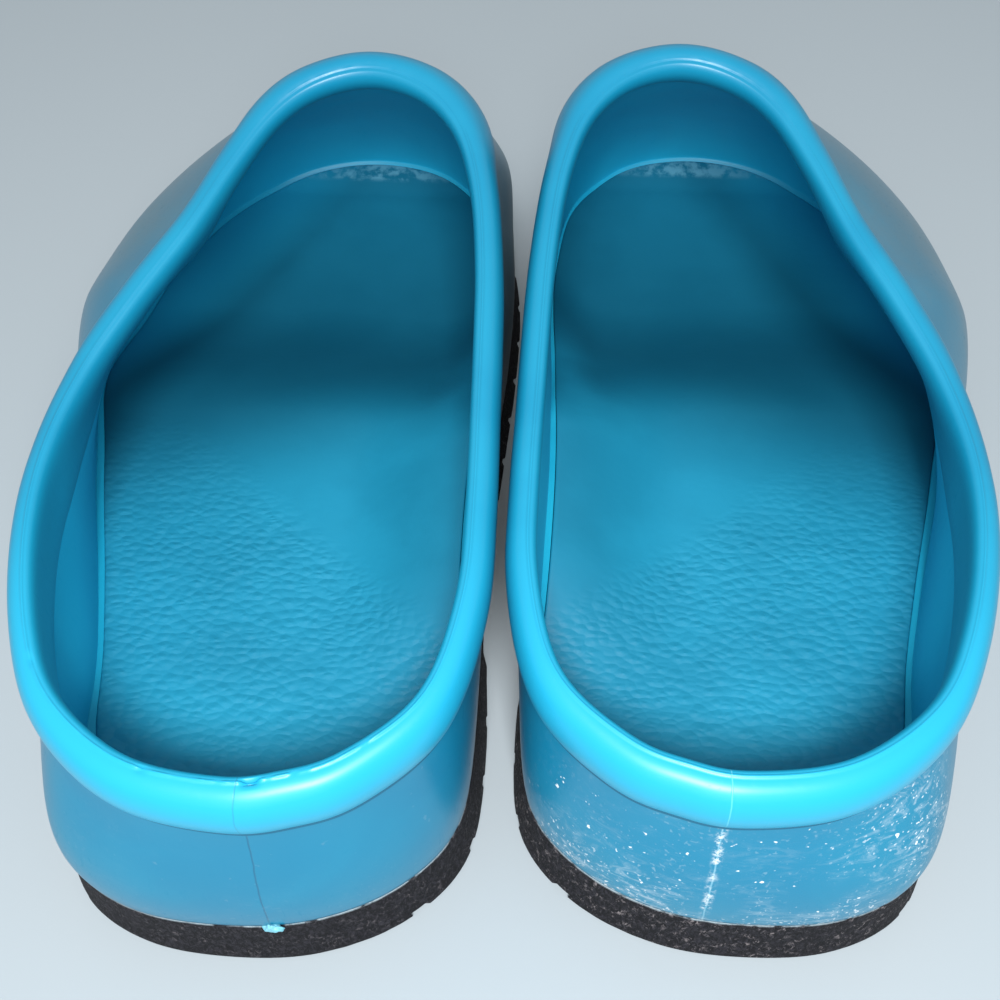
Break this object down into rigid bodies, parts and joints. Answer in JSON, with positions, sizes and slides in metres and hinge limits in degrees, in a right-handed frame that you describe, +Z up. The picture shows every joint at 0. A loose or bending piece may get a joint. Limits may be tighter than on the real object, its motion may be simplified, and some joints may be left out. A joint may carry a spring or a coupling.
{
  "type": "rubber garden clogs",
  "caption": "Pair of low moulded garden clogs: rounded closed toe, low heel wall, thick rolled collar, lift-out footbed and black rubber outsole with cross-grooved tread.",
  "frame": {"origin": "centre of the pair's footprint on the floor", "axes": "+Z up, +Y towards the toes, +X towards the right clog's outer side"},
  "size_m": [0.2158, 0.2374, 0.0969],
  "materials": {
    "teal_pvc": "glossy injection-moulded soft PVC, teal blue, light wear",
    "teal_pvc_rim": "glossy moulded rolled rim, same teal as the upper",
    "teal_footbed": "satin teal with a pebbled grain, smooth in the arch and forefoot",
    "foam_filler": "matt closed-cell filler, hidden",
    "black_rubber": "matt rough black rubber, dusty, fibrous edge"
  },
  "bodies": {
    "left_clog": {"left_upper": "teal_pvc", "left_collar": "teal_pvc_rim", "left_midsole": "foam_filler", "left_outsole": "black_rubber"},
    "left_insert": {"left_footbed": "teal_footbed"},
    "right_clog": {"right_upper": "teal_pvc", "right_collar": "teal_pvc_rim", "right_midsole": "foam_filler", "right_outsole": "black_rubber"},
    "right_insert": {"right_footbed": "teal_footbed"}
  },
  "joints": [
    {"name": "right_slide", "type": "slide", "parent": "left_clog", "child": "right_clog", "axis": [1, 0, 0], "range_m": [0, 0.15]},
    {"name": "left_footbed_lift", "type": "hinge", "parent": "left_clog", "child": "left_insert", "pos_m": [-0.046, 0.1005, 0.018], "axis": [-1, 0, 0], "range_deg": [0, 2.5]},
    {"name": "right_footbed_lift", "type": "hinge", "parent": "right_clog", "child": "right_insert", "pos_m": [0.046, 0.106, 0.018], "axis": [-1, 0, 0], "range_deg": [0, 2.5]}
  ]
}
